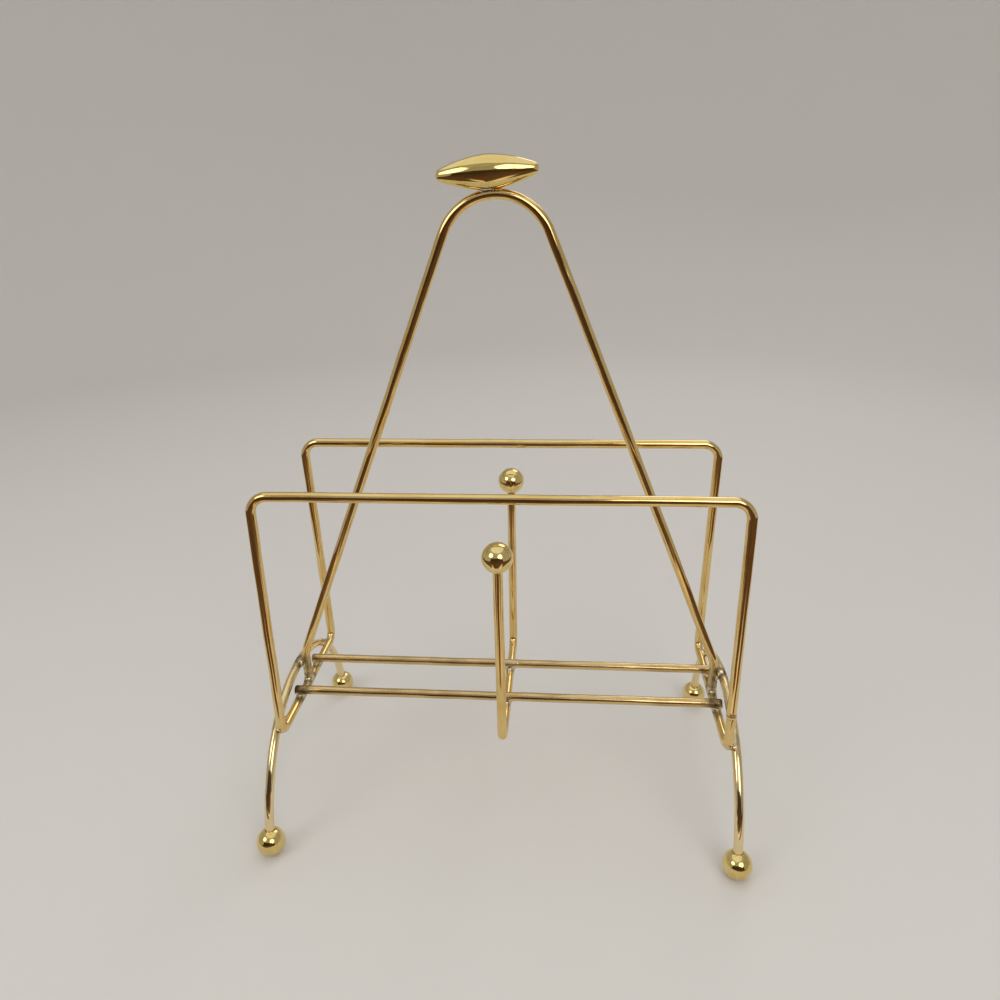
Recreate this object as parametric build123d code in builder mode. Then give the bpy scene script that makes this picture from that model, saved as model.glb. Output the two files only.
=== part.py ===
from build123d import *
import os
from math import acos, atan2, cos, radians, sin, sqrt

# Photo album stand, bent and brazed from brass wire.
# The origin is on the table under the middle of the stand.
# X runs along the stand, Y from front to rear and Z up.

# Driving dimensions, in millimetres and degrees

wire_diameter = 4.0
braze_gap = 0.1  # clear gap between wires that meet at a brazed joint

rail_height = 49.0  # bottom rails above the table
cradle_width = 191.0  # between the uprights
frame_height = 110.0  # bottom rails to top rails
frame_top_depth = 66.5  # between the two top rails
frame_foot_depth = 76.0  # between the lower corners of the two frames
top_bend_radius = 7.0
foot_bend_radius = 5.0

weld_rise = 17.5  # butt weld above the bottom rail, on the front right upright
weld_length = 2.6
weld_bulge = 0.35

cross_rail_spacing = 25.6
cross_rail_chamfer = 0.4

arch_rise = 10.2  # top of each leg arch above the bottom rails
foot_splay = 19.0  # each foot out past the cradle's lower corner
leg_tail = 0.5  # straight wire that shows above each foot ball

handle_rise = 216.0  # top of the crown above the bottom rails
crown_radius = 21.7
handle_tail = 16.3  # where the slanted legs turn down, above the bottom rails
handle_bend_radius = 20.0

divider_foot_depth = 74.4  # between the lower corners of the divider
divider_top_depth = 80.4  # between the divider's balls
divider_rise = 89.0  # divider balls above the bottom bar
divider_bend_radius = 5.0
divider_offset = 1.2  # brazed a little to the right of the middle

ball_diameter = 12.2
ball_bore_depth = 7.0
bore_clearance = 0.05
tip_gap = 0.2  # wire tip to the bottom of its bore

knob_length = 37.4
knob_diameter = 12.2
knob_flank_radius = 52.0  # swell of each half between the middle and the tip
knob_tip_radius = 2.4
knob_shift = 2.8  # seated this far left of the crown's top
knob_tilt = 2.9
saddle_depth = 0.6  # filed into the knob to seat it over the crown

bead_spread = 1.1  # braze bead beyond the wire's radius
solder_spread = 0.6  # solder bead beyond the wire's radius

# Places that follow from the dimensions

wire_radius = wire_diameter / 2
wire_pitch = wire_diameter + braze_gap  # between the centrelines of two wires that meet
half_width = cradle_width / 2
top_y = frame_top_depth / 2
foot_y = frame_foot_depth / 2
top_z = rail_height + frame_height
cross_y = cross_rail_spacing / 2
cross_z = rail_height + wire_pitch
leg_x = half_width + wire_pitch
ball_radius = ball_diameter / 2
tip_depth = ball_bore_depth - tip_gap
sides = (-1, 1)


def tangent_point(centre, radius, start, turn):
    """Point where a straight run from start touches a circle, anticlockwise of start for turn 1."""
    run = start - centre
    angle = atan2(run.Y, run.X) + turn * acos(radius / run.length)
    return centre + Vector(radius * cos(angle), radius * sin(angle))


def flank_hub(start, radius, tip_centre, tip_radius):
    """Centre of the arc that leaves start downward and runs smoothly into a tip's smaller circle."""
    run = tip_centre - start
    inner = radius - tip_radius
    spread = acos((run.length**2 + radius**2 - inner**2) / (2 * run.length * radius))
    angle = atan2(run.Y, run.X) - spread
    return start + Vector(radius * cos(angle), radius * sin(angle))


def mark(point, side=1):
    """Place of a point on its drawing plane, or of its mirror image for side -1."""
    return (side * point.X, point.Y)


def section(path):
    """Plane square to the start of a wire's path."""
    return Plane(origin=path @ 0, z_dir=path % 0)


def bored_ball(centre, mouth_direction):
    """Ball with a blind bore that takes a wire's tip."""
    with BuildPart() as ball:
        with Locations(centre):
            Sphere(ball_radius)
        with Locations(Plane(centre + mouth_direction * ball_radius, z_dir=mouth_direction)):
            Hole(wire_radius + bore_clearance, ball_bore_depth)
    return ball.part


def save(part, name):
    """Label one piece and write it to its own file."""
    part.label = name
    export_step(part, f"parts/{name}.step")


os.makedirs("parts", exist_ok=True)

# Cradle: one wire bent into two leaning frames and the bottom rails between them.
# Its ends meet in a butt joint low on the front right upright.

upright = (Vector(half_width, -top_y, top_z) - Vector(half_width, -foot_y, rail_height)).normalized()
weld_centre = Vector(half_width, -foot_y, rail_height) + upright * (weld_rise / upright.Z)
cradle_corners = [
    Vector(half_width, -top_y, top_z),
    Vector(-half_width, -top_y, top_z),
    Vector(-half_width, -foot_y, rail_height),
    Vector(-half_width, foot_y, rail_height),
    Vector(-half_width, top_y, top_z),
    Vector(half_width, top_y, top_z),
    Vector(half_width, foot_y, rail_height),
    Vector(half_width, -foot_y, rail_height),
]
frame_bends = [top_bend_radius, top_bend_radius, foot_bend_radius, foot_bend_radius]
cradle_start = weld_centre + upright * (braze_gap / 2)
cradle_end = weld_centre - upright * (braze_gap / 2)

with BuildPart() as cradle_wire:
    with BuildLine() as cradle_path:
        FilletPolyline(cradle_start, *cradle_corners, cradle_end, radius=frame_bends * 2)
    with BuildSketch(section(cradle_path.line)):
        Circle(wire_radius)
    sweep(path=cradle_path.line)
save(cradle_wire.part, "cradle_wire")

with BuildPart() as cradle_butt_weld:
    with BuildSketch(Plane(weld_centre, x_dir=upright, z_dir=(1, 0, 0))):
        with BuildLine():
            weld_start = (-weld_length / 2, wire_radius)
            weld_end = (weld_length / 2, wire_radius)
            Line(weld_start, weld_end)
            ThreePointArc(weld_end, (0, wire_radius + weld_bulge), weld_start)
        make_face()
    revolve(axis=Axis(weld_centre, upright))
save(cradle_butt_weld.part, "cradle_butt_weld")

# Cross rails: straight rods across the bottom rails, cut flush with their outer sides.

cross_rails = []
for name, end in (("front_cross_rail", -1), ("rear_cross_rail", 1)):
    with BuildPart() as cross_rail:
        with BuildSketch(Plane.YZ):
            with Locations((end * cross_y, cross_z)):
                Circle(wire_radius)
        extrude(amount=half_width + wire_radius, both=True)
        chamfer(cross_rail.edges().filter_by(GeomType.CIRCLE), cross_rail_chamfer)
    cross_rails.append(cross_rail.part)
    save(cross_rail.part, name)

# Legs: one arch on each side, outboard of the bottom rail.
# Each arch runs straight into its two foot balls, so its radius follows from the feet and the top.

arch_top = Vector(0, rail_height + arch_rise)
foot = Vector(foot_y + foot_splay, ball_radius)
foot_drop = arch_top.Y - foot.Y
foot_run = ball_radius + leg_tail
arch_radius = (foot.X**2 + foot_drop**2 - foot_run**2) / (2 * foot_drop)
arch_touch = tangent_point(arch_top - Vector(0, arch_radius), arch_radius, foot, 1)
foot_direction = (arch_touch - foot).normalized()
foot_tip = foot + foot_direction * (ball_radius - tip_depth)

legs = []
for name, side in (("left_leg_wire", -1), ("right_leg_wire", 1)):
    with BuildPart() as leg:
        with BuildLine(Plane.YZ.offset(side * leg_x)) as leg_path:
            Line(mark(foot_tip, -1), mark(arch_touch, -1))
            ThreePointArc(mark(arch_touch, -1), mark(arch_top), mark(arch_touch))
            Line(mark(arch_touch), mark(foot_tip))
        with BuildSketch(section(leg_path.line)):
            Circle(wire_radius)
        sweep(path=leg_path.line)
    legs.append(leg.part)
    save(leg.part, name)

for row, end in (("front", -1), ("rear", 1)):
    for column, side in (("left", -1), ("right", 1)):
        foot_centre = Vector(side * leg_x, end * foot.X, foot.Y)
        foot_mouth = Vector(0, end * foot_direction.X, foot_direction.Y)
        save(bored_ball(foot_centre, foot_mouth), f"{row}_{column}_foot_ball")

# Handle: slanted legs tangent to a round crown, with tails that stand on the bottom rails
# against the inner sides of the leg arches.

crown_top = Vector(0, rail_height + handle_rise)
crown_centre = crown_top - Vector(0, crown_radius)
handle_bend = Vector(half_width, rail_height + handle_tail)
handle_end = Vector(half_width, rail_height + wire_radius + braze_gap)
crown_touch = tangent_point(crown_centre, crown_radius, handle_bend, 1)

with BuildPart() as handle_wire:
    with BuildLine(Plane.XZ) as handle_path:
        left_leg = [mark(point, -1) for point in (handle_end, handle_bend, crown_touch)]
        right_leg = [mark(point) for point in (crown_touch, handle_bend, handle_end)]
        FilletPolyline(*left_leg, radius=handle_bend_radius)
        ThreePointArc(left_leg[-1], mark(crown_top), right_leg[0])
        FilletPolyline(*right_leg, radius=handle_bend_radius)
    with BuildSketch(section(handle_path.line)):
        Circle(wire_radius)
    sweep(path=handle_path.line)
save(handle_wire.part, "handle_wire")

# Divider: a U of wire under the cross rails, with a ball on each tip.

divider_corner = Vector(divider_foot_depth / 2, rail_height)
divider_ball = Vector(divider_top_depth / 2, rail_height + divider_rise)
divider_direction = (divider_corner - divider_ball).normalized()
divider_tip = divider_ball + divider_direction * (ball_radius - tip_depth)

with BuildPart() as divider_wire:
    with BuildLine(Plane.YZ.offset(divider_offset)) as divider_path:
        front_points = [mark(divider_tip, -1), mark(divider_corner, -1)]
        rear_points = [mark(divider_corner), mark(divider_tip)]
        FilletPolyline(*front_points, *rear_points, radius=divider_bend_radius)
    with BuildSketch(section(divider_path.line)):
        Circle(wire_radius)
    sweep(path=divider_path.line)
save(divider_wire.part, "divider_wire")

for row, end in (("front", -1), ("rear", 1)):
    ball_centre = Vector(divider_offset, end * divider_ball.X, divider_ball.Y)
    ball_mouth = Vector(0, end * divider_direction.X, divider_direction.Y)
    save(bored_ball(ball_centre, ball_mouth), f"{row}_divider_ball")

# Knob: a turned spindle, crested in the middle and round at its tips.
# A shallow saddle filed underneath seats it over the crown, a little left of the top.

tilt = radians(knob_tilt)
knob_radius = knob_diameter / 2
knob_axis = Vector(cos(tilt), 0, sin(tilt))
saddle_radius = wire_radius + braze_gap
saddle_rim = crown_radius + saddle_radius
crown_hub = Vector(crown_centre.X, 0, crown_centre.Y)
knob_seat = crown_hub + Vector(-knob_shift, 0, sqrt(saddle_rim**2 - knob_shift**2))
knob_centre = knob_seat + Vector(0, 0, knob_radius - saddle_depth)
crest = Vector(0, knob_radius)
tip_end = Vector(knob_length / 2, 0)
tip_centre = tip_end - Vector(knob_tip_radius, 0)
flank_centre = flank_hub(crest, knob_flank_radius, tip_centre, knob_tip_radius)
tip_touch = tip_centre + (tip_centre - flank_centre).normalized() * knob_tip_radius
flank_middle = flank_centre + ((crest + tip_touch) / 2 - flank_centre).normalized() * knob_flank_radius
tip_slope = (tip_touch - flank_centre).rotate(Axis.Z, -90)

with BuildPart() as handle_knob:
    with BuildSketch(Plane(knob_centre, x_dir=knob_axis, z_dir=(0, -1, 0))):
        with BuildLine():
            for side in sides:
                ThreePointArc(mark(crest), mark(flank_middle, side), mark(tip_touch, side))
                TangentArc(mark(tip_touch, side), mark(tip_end, side), tangent=mark(tip_slope, side))
            Line(mark(tip_end, -1), mark(tip_end))
        make_face()
    revolve(axis=Axis(knob_centre, knob_axis))
    with Locations(Plane(crown_hub, z_dir=(0, 1, 0))):
        Torus(crown_radius, saddle_radius, mode=Mode.SUBTRACT)
save(handle_knob.part, "handle_knob")

# Braze beads: filler drawn round each place where two pieces meet, shaped by the pieces themselves.

wires = [cradle_wire.part, handle_wire.part, divider_wire.part, *cross_rails, *legs]
bead_radius = wire_radius + bead_spread
bead_turn = (35, 20, 0)  # keeps each sphere's seam and poles off the wires' own seams
crossing_z = rail_height + wire_pitch / 2
leg_crossing_x = half_width + wire_pitch / 2
leg_crossing_y = sqrt(arch_radius**2 - (arch_radius - arch_rise) ** 2)


def braze(name, places, radius, pieces):
    """One group of like beads, cut back to the faces of the pieces that they join."""
    with BuildPart() as beads:
        with Locations(*places):
            Sphere(radius, rotation=bead_turn)
        for piece in pieces:
            add(piece, mode=Mode.SUBTRACT)
    save(beads.part, name)


rail_crossings = [(x * half_width, y * cross_y, crossing_z) for x in sides for y in sides]
divider_crossings = [(divider_offset, y * cross_y, crossing_z) for y in sides]
leg_crossings = [(x * leg_crossing_x, y * leg_crossing_y, rail_height) for x in sides for y in sides]
handle_ends = [(x * half_width, 0, crossing_z) for x in sides]
handle_flanks = [(x * leg_crossing_x, 0, arch_top.Y) for x in sides]

braze("cross_rail_braze", rail_crossings, bead_radius, wires)
braze("divider_braze", divider_crossings, bead_radius, wires)
braze("leg_braze", leg_crossings, bead_radius, wires)
braze("handle_braze", handle_ends + handle_flanks, bead_radius, wires)
solder_place = knob_seat - Vector(0, 0, wire_radius / 2)
braze("knob_solder", [solder_place], wire_radius + solder_spread, [handle_wire.part, handle_knob.part])
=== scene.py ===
"""Photo album stand of polished brass wire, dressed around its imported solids.

Lengths are in millimetres until a mesh is written, in metres, in the frame's own axes: X along the
stand, Y from front to rear and Z up. Every piece is a surface worked out on a grid. A bent wire is a
ring carried along a filleted route, a ball or the knob is a turned profile, and a braze bead is the
smooth union of the wires that it joins, found along rays from the joint. The studio is in metres.
"""

import logging
import math
from dataclasses import dataclass, replace
from enum import Enum, IntEnum
from functools import reduce
from typing import Any, Protocol, Sequence, Union

import bpy
import numpy as np
from mathutils import Matrix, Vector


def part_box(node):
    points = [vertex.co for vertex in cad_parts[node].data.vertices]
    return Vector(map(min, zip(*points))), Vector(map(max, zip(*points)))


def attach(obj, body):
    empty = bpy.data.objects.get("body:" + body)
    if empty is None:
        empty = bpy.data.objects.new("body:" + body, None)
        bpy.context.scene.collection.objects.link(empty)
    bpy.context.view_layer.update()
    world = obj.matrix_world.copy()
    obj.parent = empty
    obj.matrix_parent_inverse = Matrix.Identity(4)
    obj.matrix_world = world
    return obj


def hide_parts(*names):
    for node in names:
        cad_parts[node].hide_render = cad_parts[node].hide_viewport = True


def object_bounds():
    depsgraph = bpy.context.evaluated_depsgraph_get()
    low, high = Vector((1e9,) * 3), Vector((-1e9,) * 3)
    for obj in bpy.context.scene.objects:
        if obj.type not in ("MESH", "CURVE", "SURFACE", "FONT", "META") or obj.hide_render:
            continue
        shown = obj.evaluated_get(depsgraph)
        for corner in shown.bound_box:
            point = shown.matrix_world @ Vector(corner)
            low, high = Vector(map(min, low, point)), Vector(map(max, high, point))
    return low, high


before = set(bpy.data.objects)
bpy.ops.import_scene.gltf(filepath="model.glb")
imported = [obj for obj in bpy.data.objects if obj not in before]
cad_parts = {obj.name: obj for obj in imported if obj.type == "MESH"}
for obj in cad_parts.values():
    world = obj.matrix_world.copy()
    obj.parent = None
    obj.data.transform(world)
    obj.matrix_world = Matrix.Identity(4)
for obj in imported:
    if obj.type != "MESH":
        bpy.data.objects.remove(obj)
CAD_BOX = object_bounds()

Array = np.ndarray
Triple = tuple[float, float, float]
Faces = list[list[int]]
Number = Union[int, float]

MM = 0.001
BODY = "root"
IMAGE_WIDTH = 1000.0
SIDES = (-1, 1)
FULL_TURN = 2 * math.pi
FRONT_RAIL = "front_cross_rail"
REAR_RAIL = "rear_cross_rail"

log = logging.getLogger("album_stand")


class Slot(Enum):
    """Material slots of the record."""

    WIRE = "wire_brass"
    RAIL = "rail_brass"
    BALL = "ball_brass"
    KNOB = "knob_brass"
    BRAZE = "braze_alloy"
    SOLDER = "solder"


class Trace(Enum):
    """Mesh attributes that the finishes read."""

    STOCK = "stock"
    HEAT = "torch_mark"


class Torch(Enum):
    """How a joint was heated: strength of the mark left on the metal and how far it spreads."""

    HARD = (1.0, 8.5)
    EVEN = (0.85, 10.0)
    MILD = (0.78, 6.5)
    SOFT = (0.66, 5.0)
    FAINT = (0.4, 3.5)
    SEAM = (1.0, 3.0)


class Grain(Enum):
    """Noise cells to a unit along each axis, and the noise's detail.

    A unit is a millimetre of stock, with the wire along the last axis, and a metre for the bands.
    """

    LINES = ((4.2, 4.2, 0.05), 3.0)
    CLOUDS = ((0.10, 0.10, 0.05), 4.0)
    MOTTLE = ((0.55, 0.55, 0.55), 3.0)
    WEAR = ((0.9, 0.9, 0.16), 2.0)
    SMOKE = ((0.30, 0.30, 0.30), 5.0)
    SPECKS = ((1.6, 1.6, 1.6), 2.0)
    BANDS = ((0.6, 16.0, 16.0), 2.0)


class Seed(IntEnum):
    """Starts of the random draws.

    A wire takes four seeds in a row and a set of beads one for each bead, to which the draw of the
    bead's ragged edge adds BEAD_EDGES.
    """

    CRADLE = 11
    FRONT_RAIL = 31
    REAR_RAIL = 38
    RAIL_BEADS = 50
    LEFT_LEG = 61
    RIGHT_LEG = 70
    LEG_BEADS = 80
    DIVIDER = 91
    DIVIDER_BEADS = 100
    HANDLE = 121
    FOOT_BEADS = 130
    FLANK_BEADS = 140
    SOLDER = 150
    BEAD_EDGES = 500


# Vectors and unevenness


def vector(x: float, y: float, z: float) -> Array:
    """Three numbers as an array."""
    return np.array((x, y, z), float)


ALONG_X = vector(1, 0, 0)
ALONG_Y = vector(0, 1, 0)
ALONG_Z = vector(0, 0, 1)
NEARLY_UPRIGHT = 0.1


def unit(values: Array) -> Array:
    """Vectors scaled to length one."""
    return values / np.linalg.norm(values, axis=-1, keepdims=True)


def turned_by(start: Array, axis: Array, angles: Array) -> Array:
    """One vector turned about an axis by many angles.

    The turned vector is v cos a + (k x v) sin a + k (k . v)(1 - cos a).

    Args:
        start: Vector to turn.
        axis: Unit axis.
        angles: Angles in radians.

    Returns:
        One turned vector per angle.
    """
    cosine = np.cos(angles)[..., None]
    sine = np.sin(angles)[..., None]
    return start * cosine + np.cross(axis, start) * sine + axis * (axis @ start) * (1 - cosine)


def square_to(heading: Array) -> Array:
    """A unit vector square to a heading, as level as it can be.

    Args:
        heading: Unit heading.

    Returns:
        The vector, which lies in the XZ plane where the heading is upright.
    """
    level = np.cross(heading, ALONG_Z)
    if np.linalg.norm(level) < NEARLY_UPRIGHT:
        level = np.cross(heading, ALONG_Y)
    return unit(level)


@dataclass(frozen=True)
class Ripple:
    """Smooth seeded unevenness: a sum of sine waves in random directions.

    Attributes:
        seed: Seed of the directions, lengths and phases.
        wavelength: Middle wavelength.
        waves: Number of waves.
        spread: Shortest and longest wave, as shares of the middle one.
    """

    seed: int
    wavelength: float
    waves: int = 10
    spread: tuple[float, float] = (0.6, 1.8)

    def at(self, places: Array) -> Array:
        """Height of the ripple, about one either way, at each place.

        Args:
            places: Points, one per row along the last axis.

        Returns:
            One height per point.
        """
        draw = np.random.default_rng(self.seed)
        headings = unit(draw.normal(size=(self.waves, places.shape[-1])))
        lengths = self.wavelength * draw.uniform(*self.spread, self.waves)
        phases = draw.uniform(0, FULL_TURN, self.waves)
        waves = np.sin(places @ (headings * FULL_TURN / lengths[:, None]).T + phases)
        return waves.sum(axis=-1) * math.sqrt(2 / self.waves)


# Grids of points


def circle(around: int) -> Array:
    """Points (cos t, sin t) of a flat unit circle."""
    angles = np.linspace(0, FULL_TURN, around, endpoint=False)
    return np.stack((np.cos(angles), np.sin(angles)), axis=-1)


def arc(centre: tuple[float, float], radius: float, start: float, stop: float, count: int) -> Array:
    """Points of a flat arc.

    Args:
        centre: Centre of the arc.
        radius: Radius of the arc.
        start: First angle, in radians.
        stop: Last angle.
        count: Number of points.

    Returns:
        Rows of two coordinates.
    """
    angles = np.linspace(start, stop, count)
    return np.stack((centre[0] + radius * np.cos(angles), centre[1] + radius * np.sin(angles)), axis=-1)


def stacked(ring: Array, radii: Array, heights: Array) -> Array:
    """Rings about the upright axis: the points (r cos t, r sin t, h).

    Args:
        ring: Points of the unit circle.
        radii: Radius of each ring.
        heights: Height of each ring.

    Returns:
        Points, as rows of rings.
    """
    level = radii[:, None, None] * ring
    tall = np.broadcast_to(heights[:, None, None], (*level.shape[:2], 1))
    return np.concatenate((level, tall), axis=-1)


def grid_quads(rows: int, columns: int, closed: bool) -> Array:
    """Quads between neighbouring rows of a grid of points.

    Args:
        rows: Number of rows.
        columns: Points in a row.
        closed: Whether each row joins up into a ring.

    Returns:
        Four corner indices per quad, along a row first and then on to the next row.
    """
    index = np.arange(rows * columns).reshape(rows, columns)
    if closed:
        index = np.concatenate((index, index[:, :1]), axis=1)
    return np.stack((index[:-1, :-1], index[:-1, 1:], index[1:, 1:], index[1:, :-1]), axis=-1).reshape(-1, 4)


# Surfaces made of rings


@dataclass(frozen=True)
class Skin:
    """Closed surface of rings between two poles.

    Attributes:
        rings: Points, as rows of rings.
        poles: First and last point of the surface.
        stock: Place of each ring point on the straight stock, before bending.
        char: Share of the torch's mark that stays on each ring point.
    """

    rings: Array
    poles: Array
    stock: Array
    char: Union[Array, float] = 1.0

    def points(self) -> Array:
        """All points: ring by ring, then the two poles."""
        return np.concatenate((self.rings.reshape(-1, 3), self.poles))

    def stock_points(self) -> Array:
        """Stock places in the order of points, with each pole at its ring's middle."""
        return np.concatenate((self.stock.reshape(-1, 3), self.stock[(0, -1), :].mean(axis=1)))

    def char_points(self) -> Array:
        """Share of the torch's mark, in the order of points."""
        share = np.broadcast_to(self.char, self.rings.shape[:2])
        return np.concatenate((share.ravel(), share[(0, -1), :].mean(axis=1)))

    def faces(self, first: int) -> Faces:
        """Quads between neighbouring rings and a fan of triangles round each pole.

        Args:
            first: Index of the surface's first point in the whole mesh.

        Returns:
            Corner indices of each face, wound so that the faces point outwards.
        """
        rows, around = self.rings.shape[:2]
        quads = grid_quads(rows, around, True)
        low, high = quads[:around], quads[-around:]
        pole = np.full(around, rows * around)
        low_fan = np.stack((pole, low[:, 1], low[:, 0]), axis=-1)
        high_fan = np.stack((pole + 1, high[:, 3], high[:, 2]), axis=-1)
        faces = [quads, low_fan, high_fan]
        if self.volume() < 0:
            faces = [face[:, ::-1] for face in faces]
        return [corners for face in faces for corners in (face + first).tolist()]

    def volume(self) -> float:
        """About twelve times the volume inside the rings, positive when the quads point outwards.

        Returns:
            The sum over the quads of (the cross product of both diagonals) . (two corners from the hub).
        """
        hub = self.rings.mean(axis=(0, 1))
        low = self.rings[:-1] - hub
        high = self.rings[1:] - hub
        spread = np.cross(np.roll(low, -1, axis=1) - high, np.roll(high, -1, axis=1) - low)
        return float((spread * (low + high)).sum())


@dataclass(frozen=True)
class Route:
    """Centreline of a bent wire.

    Attributes:
        points: Places along the wire.
        heading: Direction of the wire at each place.
        side: Direction square to the wire, carried along without twist.
        inward: Direction towards the bend's centre, or zero on a straight run.
        run: Length of wire before each place.
    """

    points: Array
    heading: Array
    side: Array
    inward: Array
    run: Array


STRAIGHT_STEP = 2.0
BEND_STEP = 0.45
FEWEST_STRAIGHT = 3
FEWEST_BEND = 8


def bent_route(corners: Sequence[Array], radii: Sequence[float]) -> Route:
    """Centreline through corners, each rounded by an arc tangent to both runs.

    A corner that turns by a with radius r is left r tan(a / 2) before the corner. The side direction
    stays the same along a run and turns with each arc, so the wire never twists.

    Args:
        corners: Start, corners and end of the wire.
        radii: Bend radius at each inner corner.

    Returns:
        The route, with places close together in the bends.
    """
    places = np.array(corners)
    headings = unit(np.diff(places, axis=0))
    turns = np.arccos(np.clip((headings[:-1] * headings[1:]).sum(axis=1), -1, 1))
    cuts = np.append(np.array(radii) * np.tan(turns / 2), 0.0)
    start, side = places[0], square_to(headings[0])
    stretches = []
    for number, heading in enumerate(headings):
        stop = places[number + 1] - heading * cuts[number]
        last = number == len(turns)
        count = max(FEWEST_STRAIGHT, round(np.linalg.norm(stop - start) / STRAIGHT_STEP))
        share = np.linspace(0, 1, count, endpoint=last)[:, None]
        even = np.ones_like(share)
        stretches.append((start + (stop - start) * share, heading * even, side * even, 0 * even * side))
        if last:
            break
        axis = unit(np.cross(heading, headings[number + 1]))
        inward = np.cross(axis, heading)
        count = max(FEWEST_BEND, round(radii[number] * turns[number] / BEND_STEP))
        angles = np.linspace(0, turns[number], count, endpoint=False)
        spoke = turned_by(-inward * radii[number], axis, angles)
        strength = np.sin(math.pi * angles / turns[number])[:, None]
        bend = (stop + inward * radii[number] + spoke, turned_by(heading, axis, angles))
        stretches.append((*bend, turned_by(side, axis, angles), turned_by(inward, axis, angles) * strength))
        side = turned_by(side, axis, turns[number : number + 1])[0]
        start = places[number + 1] + headings[number + 1] * cuts[number]
    points, heading, side, inward = (np.concatenate(column) for column in zip(*stretches))
    steps = np.linalg.norm(np.diff(points, axis=0), axis=1)
    return Route(points, heading, side, inward, np.concatenate(([0.0], np.cumsum(steps))))


FINE_WAVES = 24


@dataclass(frozen=True)
class WireStock:
    """Round wire as it comes off the coil and through the bending jig.

    Attributes:
        radius: Radius of the wire.
        around: Points in one ring.
        flatten: Share of the radius lost towards a bend's centre.
        wander: How far a run strays from straight.
        wander_waves: Wavelengths of the straying, sideways and up.
        steady: Length at each end over which the straying fades in.
        dents: Height of the long shallow dents in the skin.
        dent_wave: Their wavelength.
        hammer: Height of the short ones.
        hammer_wave: Their wavelength.
        hammer_stretch: How much shorter a step along the wire counts for them.
        end_rings: Rings in the rounded edge at each end.
    """

    radius: float
    around: int = 40
    flatten: float = 0.045
    wander: float = 0.035
    wander_waves: tuple[float, float] = (42, 37)
    steady: float = 12
    dents: float = 0.010
    dent_wave: float = 11.0
    hammer: float = 0.005
    hammer_wave: float = 3.2
    hammer_stretch: float = 0.6
    end_rings: int = 3

    def skin(self, route: Route, seed: int, edge: float = 0.35) -> Skin:
        """Surface of a wire along a route, with softly rounded ends.

        Each ring is r (cos t side + sin t up), squeezed towards the bend's centre, and the centreline
        strays a little along both directions.

        Args:
            route: Centreline of the wire.
            seed: Seed of the straying and the dents.
            edge: Radius of the rounded edge at each end.

        Returns:
            The closed surface.
        """
        up = np.cross(route.heading, route.side)
        ring = circle(self.around)
        spokes = ring[:, :1] * route.side[:, None] + ring[:, 1:] * up[:, None]
        squeeze = (spokes * route.inward[:, None]).sum(axis=-1, keepdims=True)
        spokes = spokes - self.flatten * squeeze * route.inward[:, None]
        run = route.run[:, None]
        strays = [Ripple(seed + step, wave).at(run)[:, None] for step, wave in enumerate(self.wander_waves)]
        fade = np.clip(np.minimum(run, run[-1] - run) / self.steady, 0, 1)
        middle = route.points + self.wander * (strays[0] * route.side + strays[1] * up) * fade
        stock = stacked(ring, np.full_like(route.run, self.radius), route.run)
        depth = self.radius + self.dents * Ripple(seed + 2, self.dent_wave, FINE_WAVES).at(stock)
        short = Ripple(seed + 3, self.hammer_wave, FINE_WAVES).at(stock * (1, 1, self.hammer_stretch))
        depth = depth + self.hammer * short
        rings = middle[:, None] + spokes * depth[..., None]
        corner = np.linspace(0, math.pi / 2, self.end_rings + 1)[1:, None, None]
        shrink = 1 - edge / self.radius * (1 - np.cos(corner))
        grow = edge * np.sin(corner)
        ends = []
        for place, way in ((0, -1), (-1, 1)):
            outward = route.heading[place] * way
            rim = middle[place] + (rings[place] - middle[place]) * shrink
            ends.append(rim + outward * (grow - edge))
            rings[place] -= outward * edge
        poles = np.stack([rim[-1].mean(axis=0) for rim in ends])
        whole_stock = np.pad(stock, ((self.end_rings, self.end_rings), (0, 0), (0, 0)), "edge")
        return Skin(np.concatenate((ends[0][::-1], rings, ends[1])), poles, whole_stock)


TURNED_WAVE = 4.2


def lathe(profile: Array, centre: Array, axis: Array, around: int = 72, ripple: float = 0.0) -> Skin:
    """Turned surface: a profile spun about an axis.

    A profile point at height h and radius r becomes centre + h axis + r (cos t side + sin t up), and
    polishing by hand leaves it slightly uneven away from the centre.

    Args:
        profile: Rows of height and radius, from a point on the axis to a point on the axis.
        centre: Zero of the heights.
        axis: Unit axis.
        around: Points in one ring.
        ripple: Height of the unevenness.

    Returns:
        The closed surface.
    """
    side = square_to(axis)
    ring = circle(around)
    spokes = ring[:, :1] * side + ring[:, 1:] * np.cross(axis, side)
    height, radius = profile[1:-1].T
    rings = centre + height[:, None, None] * axis + radius[:, None, None] * spokes
    poles = centre + profile[(0, -1), :1] * axis
    seed = round(abs(float(centre @ (1, 2, 3))))
    uneven = Ripple(seed, TURNED_WAVE, FINE_WAVES).at(rings)
    rings = rings + unit(rings - centre) * ripple * uneven[..., None]
    return Skin(rings, poles, stacked(ring, radius, height))


# Distance fields that shape the beads


class Field(Protocol):
    """Solid that can say how far a place is from its face."""

    def distance(self, places: Array) -> Array:
        """Distance to the face, negative inside."""


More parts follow.
